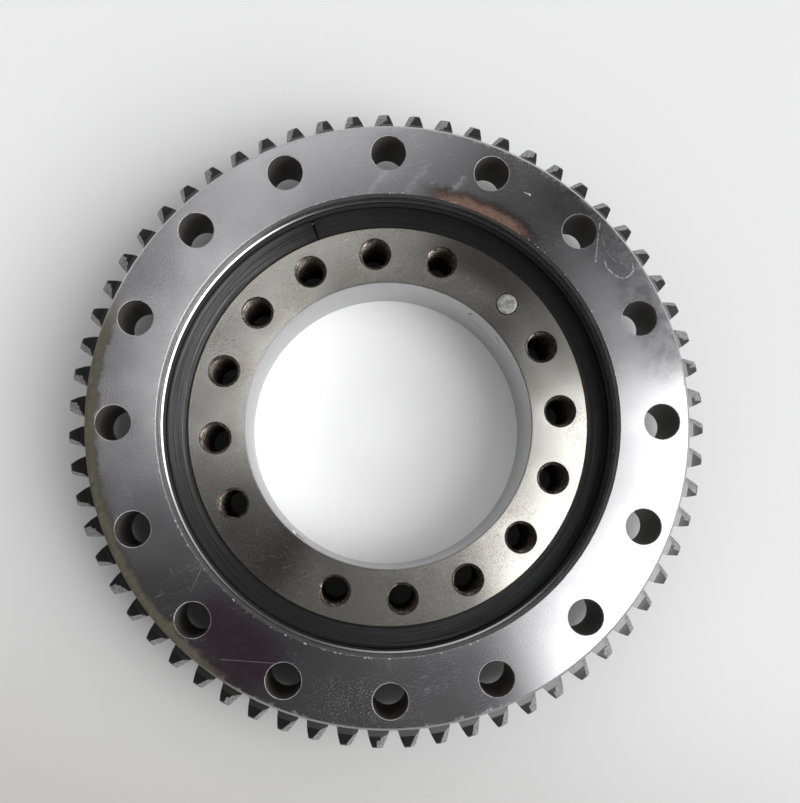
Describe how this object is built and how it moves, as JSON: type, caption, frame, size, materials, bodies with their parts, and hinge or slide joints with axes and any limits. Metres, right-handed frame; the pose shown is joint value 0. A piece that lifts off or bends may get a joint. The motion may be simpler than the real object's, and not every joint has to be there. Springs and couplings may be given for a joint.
{
  "type": "slewing ring bearing",
  "caption": "Slewing ring bearing: geared outer ring with bolt holes turns on balls around a plain-bore inner ring with tapped holes, sealed top and bottom.",
  "frame": {"origin": "on the rotation axis, at the inner ring's bottom face", "axes": "+Z along the rotation axis towards the flange face of the geared ring; +X and +Y across the rings, with one bolt hole of the outer ring close to +Y"},
  "size_m": [0.3226, 0.3226, 0.076],
  "materials": {
    "inner_ring_steel": "fine-turned and slightly pitted steel with a warm tarnish at the rim",
    "outer_ring_steel": "face-turned steel whose concentric tool marks give radial bands of light, with stains and scratches",
    "seal_rubber": "satin black rubber, lightly scuffed",
    "pin_steel": "ground pin end, rough and bright",
    "fastener_steel": "dull zinc-plated screw plug",
    "ball_steel": "polished bearing steel with a grease film",
    "spacer_plastic": "natural nylon, satin"
  },
  "bodies": {
    "inner_ring": {"inner_ring": "inner_ring_steel", "upper_seal": "seal_rubber", "lower_seal": "seal_rubber", "load_plug": "inner_ring_steel", "taper_pin": "pin_steel", "grease_plug": "fastener_steel"},
    "outer_ring": {"outer_ring": "outer_ring_steel"},
    "spacer_set": {"spacer_01": "spacer_plastic", "spacer_02": "spacer_plastic", "spacer_03": "spacer_plastic", "spacer_04": "spacer_plastic", "spacer_05": "spacer_plastic", "spacer_06": "spacer_plastic", "spacer_07": "spacer_plastic", "spacer_08": "spacer_plastic", "spacer_09": "spacer_plastic", "spacer_10": "spacer_plastic", "spacer_11": "spacer_plastic", "spacer_12": "spacer_plastic", "spacer_13": "spacer_plastic", "spacer_14": "spacer_plastic", "spacer_15": "spacer_plastic", "spacer_16": "spacer_plastic", "spacer_17": "spacer_plastic", "spacer_18": "spacer_plastic", "spacer_19": "spacer_plastic", "spacer_20": "spacer_plastic", "spacer_21": "spacer_plastic", "spacer_22": "spacer_plastic", "spacer_23": "spacer_plastic", "spacer_24": "spacer_plastic", "spacer_25": "spacer_plastic", "spacer_26": "spacer_plastic"},
    "ball_01": {"ball_01": "ball_steel"},
    "ball_02": {"ball_02": "ball_steel"},
    "ball_03": {"ball_03": "ball_steel"},
    "ball_04": {"ball_04": "ball_steel"},
    "ball_05": {"ball_05": "ball_steel"},
    "ball_06": {"ball_06": "ball_steel"},
    "ball_07": {"ball_07": "ball_steel"},
    "ball_08": {"ball_08": "ball_steel"},
    "ball_09": {"ball_09": "ball_steel"},
    "ball_10": {"ball_10": "ball_steel"},
    "ball_11": {"ball_11": "ball_steel"},
    "ball_12": {"ball_12": "ball_steel"},
    "ball_13": {"ball_13": "ball_steel"},
    "ball_14": {"ball_14": "ball_steel"},
    "ball_15": {"ball_15": "ball_steel"},
    "ball_16": {"ball_16": "ball_steel"},
    "ball_17": {"ball_17": "ball_steel"},
    "ball_18": {"ball_18": "ball_steel"},
    "ball_19": {"ball_19": "ball_steel"},
    "ball_20": {"ball_20": "ball_steel"},
    "ball_21": {"ball_21": "ball_steel"},
    "ball_22": {"ball_22": "ball_steel"},
    "ball_23": {"ball_23": "ball_steel"},
    "ball_24": {"ball_24": "ball_steel"},
    "ball_25": {"ball_25": "ball_steel"},
    "ball_26": {"ball_26": "ball_steel"}
  },
  "joints": [
    {"name": "ring_rotation", "type": "hinge", "parent": "inner_ring", "child": "outer_ring", "pos_m": [0, 0, 0.043], "axis": [0, 0, 1], "continuous": true},
    {"name": "spacer_set_orbit", "type": "hinge", "parent": "inner_ring", "child": "spacer_set", "pos_m": [0, 0, 0.043], "axis": [0, 0, 1], "continuous": true},
    {"name": "ball_01_spin", "type": "hinge", "parent": "spacer_set", "child": "ball_01", "pos_m": [0.111, 0, 0.043], "axis": [0, 0, 1], "continuous": true},
    {"name": "ball_02_spin", "type": "hinge", "parent": "spacer_set", "child": "ball_02", "pos_m": [0.10777, 0.02656, 0.043], "axis": [0, 0, 1], "continuous": true},
    {"name": "ball_03_spin", "type": "hinge", "parent": "spacer_set", "child": "ball_03", "pos_m": [0.09829, 0.05158, 0.043], "axis": [0, 0, 1], "continuous": true},
    {"name": "ball_04_spin", "type": "hinge", "parent": "spacer_set", "child": "ball_04", "pos_m": [0.08309, 0.07361, 0.043], "axis": [0, 0, 1], "continuous": true},
    {"name": "ball_05_spin", "type": "hinge", "parent": "spacer_set", "child": "ball_05", "pos_m": [0.06305, 0.09135, 0.043], "axis": [0, 0, 1], "continuous": true},
    {"name": "ball_06_spin", "type": "hinge", "parent": "spacer_set", "child": "ball_06", "pos_m": [0.03936, 0.10379, 0.043], "axis": [0, 0, 1], "continuous": true},
    {"name": "ball_07_spin", "type": "hinge", "parent": "spacer_set", "child": "ball_07", "pos_m": [0.01338, 0.11019, 0.043], "axis": [0, 0, 1], "continuous": true},
    {"name": "ball_08_spin", "type": "hinge", "parent": "spacer_set", "child": "ball_08", "pos_m": [-0.01338, 0.11019, 0.043], "axis": [0, 0, 1], "continuous": true},
    {"name": "ball_09_spin", "type": "hinge", "parent": "spacer_set", "child": "ball_09", "pos_m": [-0.03936, 0.10379, 0.043], "axis": [0, 0, 1], "continuous": true},
    {"name": "ball_10_spin", "type": "hinge", "parent": "spacer_set", "child": "ball_10", "pos_m": [-0.06305, 0.09135, 0.043], "axis": [0, 0, 1], "continuous": true},
    {"name": "ball_11_spin", "type": "hinge", "parent": "spacer_set", "child": "ball_11", "pos_m": [-0.08309, 0.07361, 0.043], "axis": [0, 0, 1], "continuous": true},
    {"name": "ball_12_spin", "type": "hinge", "parent": "spacer_set", "child": "ball_12", "pos_m": [-0.09829, 0.05158, 0.043], "axis": [0, 0, 1], "continuous": true},
    {"name": "ball_13_spin", "type": "hinge", "parent": "spacer_set", "child": "ball_13", "pos_m": [-0.10777, 0.02656, 0.043], "axis": [0, 0, 1], "continuous": true},
    {"name": "ball_14_spin", "type": "hinge", "parent": "spacer_set", "child": "ball_14", "pos_m": [-0.111, 0, 0.043], "axis": [0, 0, 1], "continuous": true},
    {"name": "ball_15_spin", "type": "hinge", "parent": "spacer_set", "child": "ball_15", "pos_m": [-0.10777, -0.02656, 0.043], "axis": [0, 0, 1], "continuous": true},
    {"name": "ball_16_spin", "type": "hinge", "parent": "spacer_set", "child": "ball_16", "pos_m": [-0.09829, -0.05158, 0.043], "axis": [0, 0, 1], "continuous": true},
    {"name": "ball_17_spin", "type": "hinge", "parent": "spacer_set", "child": "ball_17", "pos_m": [-0.08309, -0.07361, 0.043], "axis": [0, 0, 1], "continuous": true},
    {"name": "ball_18_spin", "type": "hinge", "parent": "spacer_set", "child": "ball_18", "pos_m": [-0.06305, -0.09135, 0.043], "axis": [0, 0, 1], "continuous": true},
    {"name": "ball_19_spin", "type": "hinge", "parent": "spacer_set", "child": "ball_19", "pos_m": [-0.03936, -0.10379, 0.043], "axis": [0, 0, 1], "continuous": true},
    {"name": "ball_20_spin", "type": "hinge", "parent": "spacer_set", "child": "ball_20", "pos_m": [-0.01338, -0.11019, 0.043], "axis": [0, 0, 1], "continuous": true},
    {"name": "ball_21_spin", "type": "hinge", "parent": "spacer_set", "child": "ball_21", "pos_m": [0.01338, -0.11019, 0.043], "axis": [0, 0, 1], "continuous": true},
    {"name": "ball_22_spin", "type": "hinge", "parent": "spacer_set", "child": "ball_22", "pos_m": [0.03936, -0.10379, 0.043], "axis": [0, 0, 1], "continuous": true},
    {"name": "ball_23_spin", "type": "hinge", "parent": "spacer_set", "child": "ball_23", "pos_m": [0.06305, -0.09135, 0.043], "axis": [0, 0, 1], "continuous": true},
    {"name": "ball_24_spin", "type": "hinge", "parent": "spacer_set", "child": "ball_24", "pos_m": [0.08309, -0.07361, 0.043], "axis": [0, 0, 1], "continuous": true},
    {"name": "ball_25_spin", "type": "hinge", "parent": "spacer_set", "child": "ball_25", "pos_m": [0.09829, -0.05158, 0.043], "axis": [0, 0, 1], "continuous": true},
    {"name": "ball_26_spin", "type": "hinge", "parent": "spacer_set", "child": "ball_26", "pos_m": [0.10777, -0.02656, 0.043], "axis": [0, 0, 1], "continuous": true}
  ],
  "couplings": [
    {"joint": "spacer_set_orbit", "follows": "ring_rotation", "ratio": 0.53185},
    {"joint": "ball_01_spin", "follows": "ring_rotation", "ratio": 7.817},
    {"joint": "ball_02_spin", "follows": "ring_rotation", "ratio": 7.817},
    {"joint": "ball_03_spin", "follows": "ring_rotation", "ratio": 7.817},
    {"joint": "ball_04_spin", "follows": "ring_rotation", "ratio": 7.817},
    {"joint": "ball_05_spin", "follows": "ring_rotation", "ratio": 7.817},
    {"joint": "ball_06_spin", "follows": "ring_rotation", "ratio": 7.817},
    {"joint": "ball_07_spin", "follows": "ring_rotation", "ratio": 7.817},
    {"joint": "ball_08_spin", "follows": "ring_rotation", "ratio": 7.817},
    {"joint": "ball_09_spin", "follows": "ring_rotation", "ratio": 7.817},
    {"joint": "ball_10_spin", "follows": "ring_rotation", "ratio": 7.817},
    {"joint": "ball_11_spin", "follows": "ring_rotation", "ratio": 7.817},
    {"joint": "ball_12_spin", "follows": "ring_rotation", "ratio": 7.817},
    {"joint": "ball_13_spin", "follows": "ring_rotation", "ratio": 7.817},
    {"joint": "ball_14_spin", "follows": "ring_rotation", "ratio": 7.817},
    {"joint": "ball_15_spin", "follows": "ring_rotation", "ratio": 7.817},
    {"joint": "ball_16_spin", "follows": "ring_rotation", "ratio": 7.817},
    {"joint": "ball_17_spin", "follows": "ring_rotation", "ratio": 7.817},
    {"joint": "ball_18_spin", "follows": "ring_rotation", "ratio": 7.817},
    {"joint": "ball_19_spin", "follows": "ring_rotation", "ratio": 7.817},
    {"joint": "ball_20_spin", "follows": "ring_rotation", "ratio": 7.817},
    {"joint": "ball_21_spin", "follows": "ring_rotation", "ratio": 7.817},
    {"joint": "ball_22_spin", "follows": "ring_rotation", "ratio": 7.817},
    {"joint": "ball_23_spin", "follows": "ring_rotation", "ratio": 7.817},
    {"joint": "ball_24_spin", "follows": "ring_rotation", "ratio": 7.817},
    {"joint": "ball_25_spin", "follows": "ring_rotation", "ratio": 7.817},
    {"joint": "ball_26_spin", "follows": "ring_rotation", "ratio": 7.817}
  ]
}
